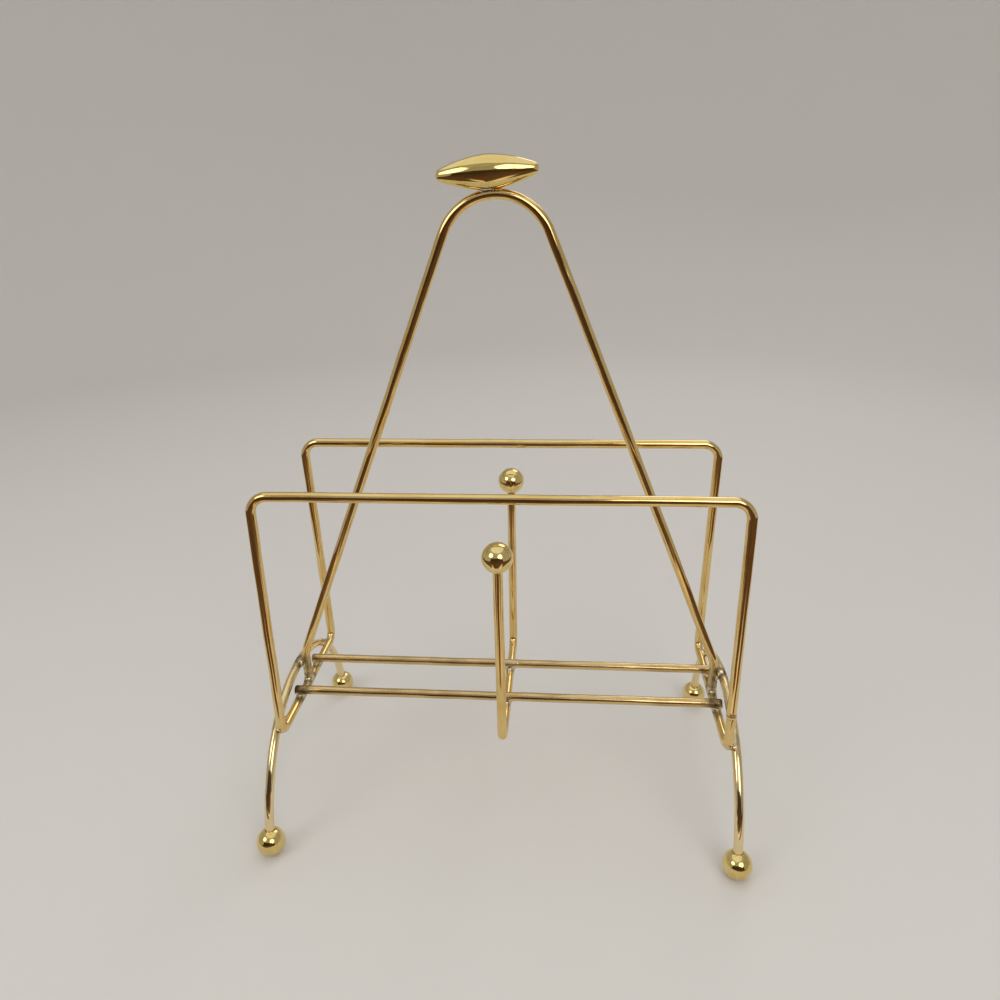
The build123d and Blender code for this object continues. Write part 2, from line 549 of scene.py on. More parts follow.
@dataclass(frozen=True)
class Rod:
    """Straight stretch of wire.

    Attributes:
        start: A place on the axis.
        heading: Unit direction of the axis.
        radius: Radius of the wire.
        low: Where the rod begins, along its heading from start.
        high: Where it ends.
    """

    start: Array
    heading: Array
    radius: float
    low: float = -math.inf
    high: float = math.inf

    def distance(self, places: Array) -> Array:
        """Distance from the rod's wall, or from its nearer end.

        Args:
            places: Points, one per row along the last axis.

        Returns:
            One distance per point.
        """
        offset = places - self.start
        along = offset @ self.heading
        wall = np.linalg.norm(offset - along[..., None] * self.heading, axis=-1) - self.radius
        return np.maximum(wall, np.maximum(self.low - along, along - self.high))


@dataclass(frozen=True)
class Hoop:
    """Round bend of a wire in an upright plane that faces front.

    Attributes:
        centre: Centre of the bend.
        bend_radius: Radius of the centreline.
        radius: Radius of the wire.
    """

    centre: Array
    bend_radius: float
    radius: float

    def distance(self, places: Array) -> Array:
        """Distance from the wire's face: from the centreline, less the wire's radius.

        Args:
            places: Points, one per row along the last axis.

        Returns:
            One distance per point.
        """
        offset = places - self.centre
        reach = np.hypot(offset[..., 0], offset[..., 2]) - self.bend_radius
        return np.hypot(reach, offset[..., 1]) - self.radius


@dataclass(frozen=True)
class Spindle:
    """Turned solid.

    Attributes:
        centre: Zero of the profile's heights.
        axis: Unit axis.
        profile: Rows of rising height and their radius.
    """

    centre: Array
    axis: Array
    profile: Array

    def distance(self, places: Array) -> Array:
        """Distance from the turned face, measured square to the axis.

        Args:
            places: Points, one per row along the last axis.

        Returns:
            One distance per point.
        """
        offset = places - self.centre
        along = offset @ self.axis
        reach = np.linalg.norm(offset - along[..., None] * self.axis, axis=-1)
        return reach - np.interp(along, self.profile[:, 0], self.profile[:, 1])


def smooth_union(first: Array, second: Array, blend: float) -> Array:
    """Distance to two solids joined by a fillet, from the distances to each.

    Args:
        first: Distances to one solid.
        second: Distances to the other.
        blend: Width over which the fillet runs.

    Returns:
        The smaller distance, less a quarter of blend at most where the two are alike.
    """
    share = np.clip(0.5 + 0.5 * (second - first) / blend, 0, 1)
    return second * (1 - share) + first * share - blend * share * (1 - share)


BEAD_ROWS = 34
BEAD_AROUND = 52
LUMP_WAVES = 14
EDGE_WAVES = 8
RAY_SAMPLES = 64
RAY_START = 0.02
RAY_REACH = 1.35
LEAST_RISE = 1e-6


@dataclass(frozen=True)
class Filler:
    """Braze or solder run into a joint by hand.

    Attributes:
        blend: Width of the fillet between the pieces.
        proud: Height of the filler over the pieces at the joint.
        reach: Distance at which it has thinned to nothing.
        lumps: Height of the lumps left by the torch.
        lump_wave: Their wavelength.
        ragged: Share by which the reach differs from ray to ray.
        ragged_wave: Wavelength of that on the unit sphere of rays.
        rim: Share of the reach past which the torch's mark grows.
        clean: Share of the mark that stays inside the rim.
    """

    blend: float = 2.1
    proud: float = 0.09
    reach: float = 3.1
    lumps: float = 0.08
    lump_wave: float = 3.4
    ragged: float = 0.07
    ragged_wave: float = 1.6
    rim: float = 0.62
    clean: float = 0.3

    def skin(self, centre: Array, axis: Array, pieces: Sequence[Field], seed: int) -> Skin:
        """Surface of one bead, found along rays from the joint.

        The bead's face is where smooth union - (proud + lumps) (1 - (d / edge)^2) crosses zero, with
        d the distance from the joint and edge the reach, uneven from ray to ray, so the bead thins out
        to the pieces' own faces.

        Args:
            centre: Middle of the joint.
            axis: Direction of the grid's poles.
            pieces: Solids that the bead joins.
            seed: Seed of the lumps.

        Returns:
            The closed surface.
        """
        side = square_to(axis)
        ring = circle(BEAD_AROUND)
        spokes = ring[:, :1] * side + ring[:, 1:] * np.cross(axis, side)
        tilt = np.linspace(0, math.pi, BEAD_ROWS + 2)[:, None, None]
        rays = np.cos(tilt) * axis + np.sin(tilt) * spokes
        reach = np.linspace(RAY_START, RAY_REACH * self.reach, RAY_SAMPLES)
        places = centre + rays[..., None, :] * reach[:, None]
        distances = [piece.distance(places) for piece in pieces]
        joined = reduce(lambda first, second: smooth_union(first, second, self.blend), distances)
        bumps = self.lumps * Ripple(seed, self.lump_wave, LUMP_WAVES).at(places)
        uneven = Ripple(seed + Seed.BEAD_EDGES, self.ragged_wave, EDGE_WAVES).at(rays)
        edge = self.reach * (1 + self.ragged * uneven)
        fade = 1 - (reach / edge[..., None]) ** 2
        face = joined - self.proud * fade - bumps * np.maximum(fade, 0)
        outside = face > 0
        outside[..., -1] = True
        hit = np.maximum(outside.argmax(axis=-1), 1)[..., None]
        after = np.take_along_axis(face, hit, axis=-1)[..., 0]
        before = np.take_along_axis(face, hit - 1, axis=-1)[..., 0]
        share = np.clip(-before / np.maximum(after - before, LEAST_RISE), 0, 1)
        depth = reach[hit[..., 0] - 1] + share * (reach[1] - reach[0])
        shell = centre + rays * depth[..., None]
        rim = np.clip((depth[1:-1] / self.reach - self.rim) / (1 - self.rim), 0, 1)
        char = self.clean + (1 - self.clean) * rim**2
        return Skin(shell[1:-1], shell[(0, -1), 0], shell[1:-1], char)


# Shader maths


class Signal:
    """Shader value that takes part in Python sums: each operator adds one Math node."""

    def __init__(self, graph: "Graph", socket: bpy.types.NodeSocket) -> None:
        """Wraps an output socket of a graph."""
        self.graph = graph
        self.socket = socket

    def math(self, operation: str, *values: Union["Signal", Number]) -> "Signal":
        """One Math node on these values.

        Args:
            operation: Name of the operation.
            values: Operands, in order.

        Returns:
            The node's result.
        """
        node = self.graph.node("ShaderNodeMath", {"operation": operation}, dict(enumerate(values)))
        return Signal(self.graph, node.outputs[0])

    def __add__(self, other: Union["Signal", Number]) -> "Signal":
        """Sum."""
        return self.math("ADD", self, other)

    def __sub__(self, other: Union["Signal", Number]) -> "Signal":
        """Difference."""
        return self.math("SUBTRACT", self, other)

    def __rsub__(self, other: Number) -> "Signal":
        """Difference from a number."""
        return self.math("SUBTRACT", other, self)

    def __mul__(self, other: Union["Signal", Number]) -> "Signal":
        """Product."""
        return self.math("MULTIPLY", self, other)

    def __pow__(self, other: Number) -> "Signal":
        """Power."""
        return self.math("POWER", self, other)

    def __abs__(self) -> "Signal":
        """The value without its sign."""
        return self.math("ABSOLUTE", self)

    __radd__ = __add__
    __rmul__ = __mul__

    def ramp(self, low: float, high: float) -> "Signal":
        """Smooth step.

        Args:
            low: Value that gives nought.
            high: Value that gives one, which may be the smaller.

        Returns:
            The step.
        """
        limits = {"Value": self, "From Min": low, "From Max": high}
        node = self.graph.node("ShaderNodeMapRange", {"interpolation_type": "SMOOTHSTEP"}, limits)
        return Signal(self.graph, node.outputs["Result"])

    def capped(self) -> "Signal":
        """The value held between nought and one."""
        return self.math("MINIMUM", self.math("MAXIMUM", self, 0.0), 1.0)


class Graph:
    """Node tree that is built by calls."""

    def __init__(self, tree: bpy.types.NodeTree) -> None:
        """Starts an empty tree."""
        self.tree = tree
        tree.nodes.clear()

    def node(self, kind: str, settings: dict[str, Any], sockets: dict[Any, Any]) -> bpy.types.Node:
        """Adds one node.

        Args:
            kind: Type of the node.
            settings: Properties, set first.
            sockets: Values or links of the inputs, by name or index.

        Returns:
            The node.
        """
        node = self.tree.nodes.new(kind)
        for name, value in settings.items():
            setattr(node, name, value)
        for name, value in sockets.items():
            if isinstance(value, Signal):
                self.tree.links.new(value.socket, node.inputs[name])
            else:
                node.inputs[name].default_value = value
        return node

    def signal(self, node: bpy.types.Node, output: Union[str, int] = 0) -> Signal:
        """One output of a node."""
        return Signal(self, node.outputs[output])

    def trace(self, mark: Trace, output: str) -> Signal:
        """A mesh attribute."""
        return self.signal(self.node("ShaderNodeAttribute", {"attribute_name": mark.value}, {}), output)

    def axis(self, places: Signal, name: str) -> Signal:
        """One coordinate of a vector."""
        return self.signal(self.node("ShaderNodeSeparateXYZ", {}, {0: places}), name)

    def grain(self, source: Signal, grain: Grain) -> Signal:
        """Cloudy noise, from nought to one.

        Args:
            source: Place that the noise is read at.
            grain: Cells along each axis and detail.

        Returns:
            The noise.
        """
        cells, detail = grain.value
        scaled = self.node("ShaderNodeVectorMath", {"operation": "MULTIPLY"}, {0: source, 1: cells})
        sockets = {"Vector": self.signal(scaled), "Scale": 1.0, "Detail": detail}
        return self.signal(self.node("ShaderNodeTexNoise", {}, sockets))

    def mixed(self, share: Signal, first: Any, second: Any) -> Signal:
        """Colour between two colours, which are signals or triples.

        Args:
            share: Share of the second colour.
            first: One colour.
            second: The other.

        Returns:
            The mixed colour.
        """
        ends = [end if isinstance(end, Signal) else (*end, 1.0) for end in (first, second)]
        sockets = {"Factor": share, 6: ends[0], 7: ends[1]}
        return self.signal(self.node("ShaderNodeMix", {"data_type": "RGBA"}, sockets), 2)

    def surface(self, sockets: dict[str, Any]) -> None:
        """Ends the tree in one shader with these sockets."""
        shader = self.node("ShaderNodeBsdfPrincipled", {}, sockets)
        self.node("ShaderNodeOutputMaterial", {}, {"Surface": self.signal(shader)})


def new_material(name: str) -> tuple[bpy.types.Material, Graph]:
    """A material and its empty tree.

    Args:
        name: Name of the material.

    Returns:
        The material and the graph that fills it.
    """
    made = bpy.data.materials.new(name)
    made.use_nodes = True
    return made, Graph(made.node_tree)


PIT_CELLS = 0.8


@dataclass(frozen=True)
class Brass:
    """Brass as a finish: its colour, polish and the marks of making and age.

    Attributes:
        name: Name of the material.
        slot: Material slot that it stands for; not used.
        bright: Colour where freshly polished.
        mellow: Colour where the polish has mellowed.
        tarnish: Colour of dull patches.
        frost: Colour of metal that the torch has dulled.
        gloss: Roughness where polished.
        dulled: Roughness where dull.
        age: Share of the surface that has dulled.
        pits: Share of the pits that are open.
        lines: Depth of the lines left by drawing or turning.
        soot: Share of the heated metal that soot and flux still cover.
    """

    name: str
    slot: Slot
    bright: Triple
    mellow: Triple
    tarnish: Triple
    frost: Triple
    gloss: float
    dulled: float
    age: float
    pits: float
    lines: float
    soot: float = 0.4

    def material(self) -> bpy.types.Material:
        """Builds the finish as nodes.

        Clouds and wear mellow the polish and age dulls it in patches. The torch's mark scorches it and
        leaves flux, open pits hold dirt, and the lines of drawing or turning run along the stock.

        Returns:
            The material.
        """
        made, graph = new_material(self.name)
        stock = graph.trace(Trace.STOCK, "Vector")
        heat = graph.trace(Trace.HEAT, "Fac")
        lines = graph.grain(stock, Grain.LINES)
        clouds = graph.grain(stock, Grain.CLOUDS)
        mottle = graph.grain(stock, Grain.MOTTLE)
        wear = graph.grain(stock, Grain.WEAR)
        smoke = graph.grain(stock, Grain.SMOKE)
        specks = graph.grain(stock, Grain.SPECKS).ramp(0.58, 0.72)
        sockets = {"Vector": stock, "Scale": PIT_CELLS, "Randomness": 1.0}
        cells = graph.node("ShaderNodeTexVoronoi", {}, sockets)
        chance = graph.signal(graph.node("ShaderNodeSeparateColor", {}, {0: graph.signal(cells, "Color")}))
        open_pits = (chance + mottle * 0.5 - 0.25).ramp(1 - self.pits, 1.04 - self.pits)
        pit = graph.signal(cells, "Distance").ramp(0.26, 0.06) * open_pits
        mellow = (clouds * 0.7 + wear * 0.3).ramp(0.42, 0.62)
        film = (wear * 0.5 + mottle * 0.5).ramp(0.40, 0.70)
        dull = ((clouds * 0.5 + mottle * 0.3 + wear * 0.2 - 0.5) + self.age).ramp(0.22, 0.55)
        scorch = (heat * (0.6 + mottle * 0.8)).ramp(0.28, 0.85)
        crust = (smoke + self.soot * 0.3).ramp(0.45, 0.88) * 0.85
        grime = (scorch**3 * crust + scorch**2 * specks * self.soot * 0.5 + pit * 0.55).capped()
        colour = graph.mixed(mellow, self.bright, self.mellow)
        colour = graph.mixed(dull * 0.82, colour, self.tarnish)
        colour = graph.mixed(scorch * 0.85, colour, self.frost)
        colour = graph.mixed(grime, colour, FLUX)
        worn = (dull + scorch + grime * 0.5).capped()
        rough = self.gloss + (self.dulled - self.gloss) * worn + (lines + film) * 0.03
        height = lines * self.lines - pit * 0.5 + mottle * 0.5 * scorch
        bump = graph.node("ShaderNodeBump", {}, {"Strength": 0.35, "Distance": 0.05 * MM, "Height": height})
        normal = graph.signal(bump)
        graph.surface({"Base Color": colour, "Metallic": 1.0, "Roughness": rough, "Normal": normal})
        return made


GOLD: Triple = (0.84, 0.632, 0.275)
DEEP_GOLD: Triple = (0.77, 0.535, 0.20)
OLIVE: Triple = (0.30, 0.225, 0.11)
TAN: Triple = (0.60, 0.47, 0.26)
PEWTER: Triple = (0.36, 0.31, 0.22)
FLUX: Triple = (0.052, 0.033, 0.017)


class Finish(Enum):
    """Finishes of the pieces, each with its name, slot and colours first."""

    WIRE = Brass(
        "drawn_brass", Slot.WIRE, GOLD, DEEP_GOLD, OLIVE, TAN,
        gloss=0.06, dulled=0.40, age=0.03, pits=0.05, lines=0.5, soot=0.6,
    )
    # Painted highlight: a paler copy of the drawn wire's brass that stands in for the brighter reflections on
    # the legs.
    LEG_PAINTED_HIGHLIGHT = Brass(
        "leg_brass_painted_highlight", Slot.WIRE, (0.88, 0.73, 0.42), (0.82, 0.65, 0.33), OLIVE, TAN,
        gloss=0.07, dulled=0.40, age=0.03, pits=0.06, lines=0.5,
    )
    RAIL = Brass(
        "worn_rail_brass", Slot.RAIL, (0.72, 0.54, 0.26), (0.56, 0.40, 0.18), (0.34, 0.24, 0.12),
        (0.40, 0.29, 0.15), gloss=0.13, dulled=0.40, age=0.18, pits=0.14, lines=1.0, soot=0.85,
    )
    BALL = Brass(
        "turned_ball_brass", Slot.BALL, (0.86, 0.695, 0.31), (0.78, 0.585, 0.22), OLIVE, TAN,
        gloss=0.06, dulled=0.26, age=0.04, pits=0.05, lines=0.3,
    )
    KNOB = Brass(
        "turned_knob_brass", Slot.KNOB, (0.84, 0.67, 0.275), (0.78, 0.59, 0.21), OLIVE, TAN,
        gloss=0.05, dulled=0.22, age=0.02, pits=0.03, lines=0.2,
    )
    BRAZE = Brass(
        "braze_filler", Slot.BRAZE, (0.66, 0.56, 0.36), (0.56, 0.45, 0.26), (0.36, 0.27, 0.14),
        (0.34, 0.25, 0.13), gloss=0.20, dulled=0.46, age=0.12, pits=0.16, lines=0.2, soot=0.6,
    )
    WELD = Brass(
        "filed_weld", Slot.BRAZE, GOLD, DEEP_GOLD, OLIVE, OLIVE,
        gloss=0.10, dulled=0.40, age=0.06, pits=0.06, lines=0.3, soot=1.0,
    )
    SOLDER = Brass(
        "bright_solder", Slot.SOLDER, (0.74, 0.68, 0.54), (0.62, 0.56, 0.43), PEWTER, PEWTER,
        gloss=0.14, dulled=0.34, age=0.08, pits=0.10, lines=0.1,
    )


# Pieces and their solids


def linked(name: str, data: bpy.types.ID) -> bpy.types.Object:
    """A new object that holds the data, linked into the scene.

    Args:
        name: Name of the object.
        data: Mesh, lamp or camera.

    Returns:
        The object.
    """
    made = bpy.data.objects.new(name, data)
    bpy.context.scene.collection.objects.link(made)
    return made


def mesh_object(name: str, points: Array, faces: Faces, material: bpy.types.Material) -> bpy.types.Object:
    """A smooth mesh of one material as an object.

    Args:
        name: Name of the object.
        points: Corners in metres.
        faces: Corner indices of each face.
        material: Its material.

    Returns:
        The object.
    """
    mesh = bpy.data.meshes.new(name)
    mesh.from_pydata(points.tolist(), [], faces)
    mesh.shade_smooth()
    mesh.materials.append(material)
    return linked(name, mesh)


def node_box(node: str) -> tuple[Array, Array]:
    """Lowest and highest corner of a CAD node, in millimetres."""
    low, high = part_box(node)
    return np.array(low) / MM, np.array(high) / MM


def node_middle(node: str) -> Array:
    """Middle of a CAD node's box, in millimetres."""
    return np.add(*node_box(node)) / 2


class Workshop:
    """Turns surfaces into pieces of the object: mesh, finish and body."""

    def __init__(self, joints: Array) -> None:
        """Keeps the heated places and makes each finish once.

        Args:
            joints: Rows of X, Y, Z and the torch's strength and spread there.
        """
        self.joints = joints
        self.materials = {finish: finish.value.material() for finish in Finish}

    def heat(self, points: Array) -> Array:
        """How strongly each point was heated: the most of strength exp(-(d / spread)^2) over the joints."""
        distance = np.linalg.norm(points[:, None] - self.joints[:, :3], axis=-1)
        return (self.joints[:, 3] * np.exp(-((distance / self.joints[:, 4]) ** 2))).max(axis=1)

    def piece(self, node: str, finish: Finish, skins: Sequence[Skin]) -> bpy.types.Object:
        """Writes one piece that stands for a CAD node.

        Args:
            node: CAD node that the piece replaces.
            finish: Finish of the piece.
            skins: Closed surfaces of the piece.

        Returns:
            The piece.
        """
        points = np.concatenate([skin.points() for skin in skins])
        starts = np.cumsum([0] + [len(skin.points()) for skin in skins])
        faces = [face for skin, start in zip(skins, starts.tolist()) for face in skin.faces(start)]
        made = mesh_object(f"{node}_skin", points * MM, faces, self.materials[finish])
        stock = np.concatenate([skin.stock_points() for skin in skins])
        heat = self.heat(points) * np.concatenate([skin.char_points() for skin in skins])
        attributes = made.data.attributes
        attributes.new(Trace.STOCK.value, "FLOAT_VECTOR", "POINT").data.foreach_set("vector", stock.ravel())
        attributes.new(Trace.HEAT.value, "FLOAT", "POINT").data.foreach_set("value", heat)
        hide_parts(node)
        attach(made, BODY)
        low, high = node_box(node)
        stray = np.abs(np.concatenate((points.min(axis=0) - low, points.max(axis=0) - high))).max()
        log.info("%s: %d faces, box within %.2f mm of its solid", made.name, len(faces), stray)
        return made


# Sub-assemblies

WELD_ROWS = 61
BALL_AROUND = 80
BALL_ROWS = 48
LIP_ROWS = 7
WALL_ROWS = 8
KNOB_AROUND = 96
FLANK_ROWS = 44
NOSE_ROWS = 12


@dataclass(frozen=True)
class Cradle:
    """One wire bent into two leaning frames, closed by a butt weld, with cross rods on its bottom rails.

    Attributes:
        top_depth: Between the two top rails.
        foot_depth: Between the lower corners of the two frames.
        top_bend: Bend radius of the upper corners.
        foot_bend: Bend radius of the lower corners.
        butt_gap: From the middle of the weld to each end of the wire.
        butt_edge: Radius of the wire's edge there.
        rail_edge: Radius of the edge at a cross rail's ends.
        rail_dents: Height of the long dents in the worn cross rails.
        rail_hammer: Height of the short ones.
        weld_length: Length of the weld's collar.
        weld_bulge: Swell of the collar.
        weld_crest: Share of the swell that stands over the wire in the middle.
        weld_fall: Share of it lost from the middle to the ends.
        seam: Half the width of the dark seam round the weld.
        seam_depth: Depth of the seam.
        weld_char: Share of the torch's mark on the collar, and how much more lies in the seam.
        end_ring: Share of the wire's radius at which the collar's flat ends have a ring.
    """

    top_depth: float = 66.5
    foot_depth: float = 76.0
    top_bend: float = 7.0
    foot_bend: float = 5.0
    butt_gap: float = 0.05
    butt_edge: float = 0.1
    rail_edge: float = 0.5
    rail_dents: float = 0.022
    rail_hammer: float = 0.012
    weld_length: float = 2.6
    weld_bulge: float = 0.35
    weld_crest: float = 0.40
    weld_fall: float = 0.50
    seam: float = 0.22
    seam_depth: float = 0.14
    weld_char: tuple[float, float] = (0.2, 1.6)
    end_ring: float = 0.5

    def radius(self) -> float:
        """Radius of the wire, from the thickness of a cross rail."""
        low, high = node_box(FRONT_RAIL)
        return (high[2] - low[2]) / 2

    def half_width(self) -> float:
        """From the middle to the centreline of an upright."""
        return node_box("cradle_wire")[1][0] - self.radius()

    def rail_height(self) -> float:
        """Height of the bottom rails' centrelines."""
        return node_box("cradle_wire")[0][2] + self.radius()

    def corners(self) -> list[Array]:
        """Corners of the loop, from the front top right round to the front lower right.

        Returns:
            Eight places.
        """
        wide = self.half_width()
        top = node_box("cradle_wire")[1][2] - self.radius()
        foot = self.rail_height()
        outline = []
        for end, sides in ((-1, (1, -1)), (1, (-1, 1))):
            upper = [vector(side * wide, end * self.top_depth / 2, top) for side in sides]
            lower = [vector(side * wide, end * self.foot_depth / 2, foot) for side in sides]
            outline.append((upper, lower))
        (front_top, front_foot), (rear_top, rear_foot) = outline
        return [*front_top, front_foot[1], rear_foot[0], *rear_top, rear_foot[1], front_foot[0]]

    def weld(self) -> tuple[Array, Array]:
        """The butt weld on the front right upright.

        Returns:
            Middle of the weld and the direction of the upright there.
        """
        corners = self.corners()
        upright = unit(corners[0] - corners[-1])
        rise = node_middle("cradle_butt_weld")[2] - self.rail_height()
        return corners[-1] + upright * rise / upright[2], upright

    def rail(self, side: int) -> Rod:
        """Bottom rail on one side, as a rod."""
        return Rod(vector(side * self.half_width(), 0, self.rail_height()), ALONG_Y, self.radius())

    def cross_rod(self, name: str) -> Rod:
        """A cross rail as a rod with its true ends."""
        reach = node_box(name)[1][0]
        return Rod(node_middle(name), ALONG_X, self.radius(), -reach, reach)

    def touch(self, name: str, across: float) -> Array:
        """Place between a cross rail and a wire at the bottom rails' height that passes under it.

        Args:
            name: Cross rail.
            across: Place of the wire along X.

        Returns:
            The place, halfway between the two centrelines.
        """
        rail = node_middle(name)
        return vector(across, rail[1], (rail[2] + self.rail_height()) / 2)

    def crossings(self) -> list[tuple[int, str, Array]]:
        """Each place where a cross rail lies on a bottom rail.

        Returns:
            Side, cross rail and middle of each joint.
        """
        wide = self.half_width()
        return [
            (side, name, self.touch(name, side * wide)) for side in SIDES for name in (FRONT_RAIL, REAR_RAIL)
        ]

    def build(self, shop: Workshop) -> None:
        """Bends the loop, lays the cross rails and brazes them.

        Args:
            shop: Workshop that writes the pieces.
        """
        wire = WireStock(self.radius())
        weld, upright = self.weld()
        gap = upright * self.butt_gap
        bends = [self.top_bend, self.top_bend, self.foot_bend, self.foot_bend] * 2
        loop = bent_route([weld + gap, *self.corners(), weld - gap], bends)
        shop.piece("cradle_wire", Finish.WIRE, [wire.skin(loop, Seed.CRADLE, self.butt_edge)])
        shop.piece("cradle_butt_weld", Finish.WELD, [self.weld_skin(weld, upright)])
        worn = WireStock(self.radius(), dents=self.rail_dents, hammer=self.rail_hammer)
        for name, seed in ((FRONT_RAIL, Seed.FRONT_RAIL), (REAR_RAIL, Seed.REAR_RAIL)):
            ends = [vector(corner[0], *node_middle(name)[1:]) for corner in node_box(name)]
            shop.piece(name, Finish.RAIL, [worn.skin(bent_route(ends, []), seed, self.rail_edge)])
        filler = Filler()
        beads = [
            filler.skin(place, ALONG_X, [self.rail(side), self.cross_rod(name)], Seed.RAIL_BEADS + number)
            for number, (side, name, place) in enumerate(self.crossings())
        ]
        shop.piece("cross_rail_braze", Finish.BRAZE, beads)

    def weld_skin(self, weld: Array, upright: Array) -> Skin:
        """Collar of the butt weld: a low round swell with a fine seam where the wire's ends meet.

        At height h the radius is the wire's + bulge (crest - fall (h / half)^2) - depth exp(-(h / seam)^2).

        Args:
            weld: Middle of the weld.
            upright: Direction of the wire.

        Returns:
            The closed surface, with the torch's mark in the seam.
        """
        half = self.weld_length / 2
        height = np.linspace(-half, half, WELD_ROWS)
        seam = np.exp(-((height / self.seam) ** 2))
        crest = self.weld_crest - self.weld_fall * (height / half) ** 2
        swell = self.radius() + self.weld_bulge * crest - self.seam_depth * seam
        inner = self.radius() * self.end_ring
        ends = [((-half, 0.0), (-half, inner)), ((half, inner), (half, 0.0))]
        profile = np.concatenate((ends[0], np.stack((height, swell), axis=-1), ends[1]))
        plain, more = self.weld_char
        char = plain + more * np.pad(seam, 1)[:, None]
        return replace(lathe(profile, weld, upright), char=char)


@dataclass(frozen=True)
class Legs:
    """Two arches outboard of the bottom rails, with a bored ball on each tip.

    Attributes:
        tail: Straight wire that shows above each ball.
        bore_depth: Depth of a ball's bore.
        bore_clearance: Room round the wire in the bore.
        tip_gap: From the wire's tip to the bottom of the bore.
        lip: Radius of the rounded edge at the bore's mouth.
        ball_ripple: Unevenness that polishing leaves on a ball.
        floor_ring: Share of the bore's radius at which its floor has a ring.
    """

    tail: float = 0.5
    bore_depth: float = 7.0
    bore_clearance: float = 0.05
    tip_gap: float = 0.2
    lip: float = 0.25
    ball_ripple: float = 0.014
    floor_ring: float = 0.6

    def ball_radius(self) -> float:
        """Radius of every ball."""
        low, high = node_box("front_right_foot_ball")
        return (high[0] - low[0]) / 2

    def foot(self) -> Array:
        """Centre of the front right foot ball, with Y turned positive."""
        low, high = node_box("front_right_foot_ball")
        return vector((low[0] + high[0]) / 2, -(low[1] + high[1]) / 2, low[2] + self.ball_radius())

    def tip_rise(self) -> float:
        """From the centre of a ball to the wire's tip in its bore, towards the mouth."""
        return self.ball_radius() - self.bore_depth + self.tip_gap

    def arch(self, radius: float) -> tuple[float, float, Array]:
        """Arch of a leg, seen from its end.

        The arch is tangent to the straight tails, so its radius is (y^2 + drop^2 - run^2) / (2 drop).

        Args:
            radius: Radius of the wire.

        Returns:
            Radius of the arch, height of its top and the direction from a foot up the tail, with
            Y turned positive.
        """
        foot = self.foot()
        top = node_box("right_leg_wire")[1][2] - radius
        drop = top - foot[2]
        run = self.ball_radius() + self.tail
        bend = (foot[1] ** 2 + drop**2 - run**2) / (2 * drop)
        reach = vector(0, foot[1], foot[2] - top + bend)
        angle = math.atan2(reach[2], reach[1]) + math.acos(bend / np.linalg.norm(reach))
        touch = vector(0, bend * math.cos(angle), bend * math.sin(angle))
        return bend, top, unit(touch - reach)

    def crossing(self, cradle: Cradle) -> tuple[float, Array]:
        """Where an arch passes a bottom rail.

        Args:
            cradle: Cradle that carries the rail.

        Returns:
            Y, turned positive, and the arch's heading there.
        """
        bend, top, _ = self.arch(cradle.radius())
        below = bend - (top - cradle.rail_height())
        depth = math.sqrt(bend**2 - below**2)
        return depth, vector(0, below / bend, -depth / bend)

    def joints(self, cradle: Cradle) -> list[tuple[int, int, Array]]:
        """Each brazed crossing of an arch and a bottom rail.

        Args:
            cradle: Cradle that carries the rails.

        Returns:
            Side, end and middle of each joint.
        """
        depth, _ = self.crossing(cradle)
        middle = vector((self.foot()[0] + cradle.half_width()) / 2, depth, cradle.rail_height())
        return [(side, end, middle * vector(side, end, 1)) for side in SIDES for end in SIDES]

    def ball(self, centre: Array, mouth: Array, radius: float) -> Skin:
        """Turned ball with a blind bore and a rounded lip.

        Args:
            centre: Centre of the ball.
            mouth: Direction of the bore's mouth.
            radius: Radius of the wire in the bore.

        Returns:
            The closed surface.
        """
        ball = self.ball_radius()
        bore = radius + self.bore_clearance
        floor = ball - self.bore_depth
        lip_centre_radius = bore + self.lip
        lip_height = math.sqrt((ball - self.lip) ** 2 - lip_centre_radius**2)
        slope = math.atan2(lip_centre_radius, lip_height)
        wall = np.stack((np.linspace(floor, lip_height, WALL_ROWS), np.full(WALL_ROWS, bore)), axis=-1)
        edge = arc((lip_height, lip_centre_radius), self.lip, -math.pi / 2, slope, LIP_ROWS)
        outer = arc((0, 0), ball, slope, math.pi, BALL_ROWS)
        bottom = [(floor, 0.0), (floor, bore * self.floor_ring)]
        profile = np.concatenate((bottom, wall, edge[1:], outer[1:]))
        profile[-1, 1] = 0.0
        return lathe(profile, centre, mouth, BALL_AROUND, self.ball_ripple)

    def build(self, shop: Workshop, cradle: Cradle) -> None:
        """Bends the arches, turns the balls and brazes the arches to the rails.

        Args:
            shop: Workshop that writes the pieces.
            cradle: Cradle that the arches carry.
        """
        radius = cradle.radius()
        wire = WireStock(radius)
        foot = self.foot()
        bend, _, tail = self.arch(radius)
        tip = foot + tail * self.tip_rise()
        peak = tip + tail * (tip[1] / -tail[1])
        for name, side, seed in (("left_leg_wire", -1, Seed.LEFT_LEG), ("right_leg_wire", 1, Seed.RIGHT_LEG)):
            corners = [spot * vector(side, end, 1) for spot, end in ((tip, -1), (peak, 1), (tip, 1))]
            shop.piece(name, Finish.LEG_PAINTED_HIGHLIGHT, [wire.skin(bent_route(corners, [bend]), seed)])
        for row, end in (("front", -1), ("rear", 1)):
            for column, side in (("left", -1), ("right", 1)):
                centre = foot * vector(side, end, 1)
                ball = self.ball(centre, tail * vector(1, end, 1), radius)
                shop.piece(f"{row}_{column}_foot_ball", Finish.BALL, [ball])
        _, heading = self.crossing(cradle)
        filler = Filler()
        beads = []
        for number, (side, end, place) in enumerate(self.joints(cradle)):
            arch = Rod(vector(side * foot[0], place[1], place[2]), heading * vector(1, end, 1), radius)
            beads.append(filler.skin(place, ALONG_Y, [cradle.rail(side), arch], Seed.LEG_BEADS + number))
        shop.piece("leg_braze", Finish.BRAZE, beads)


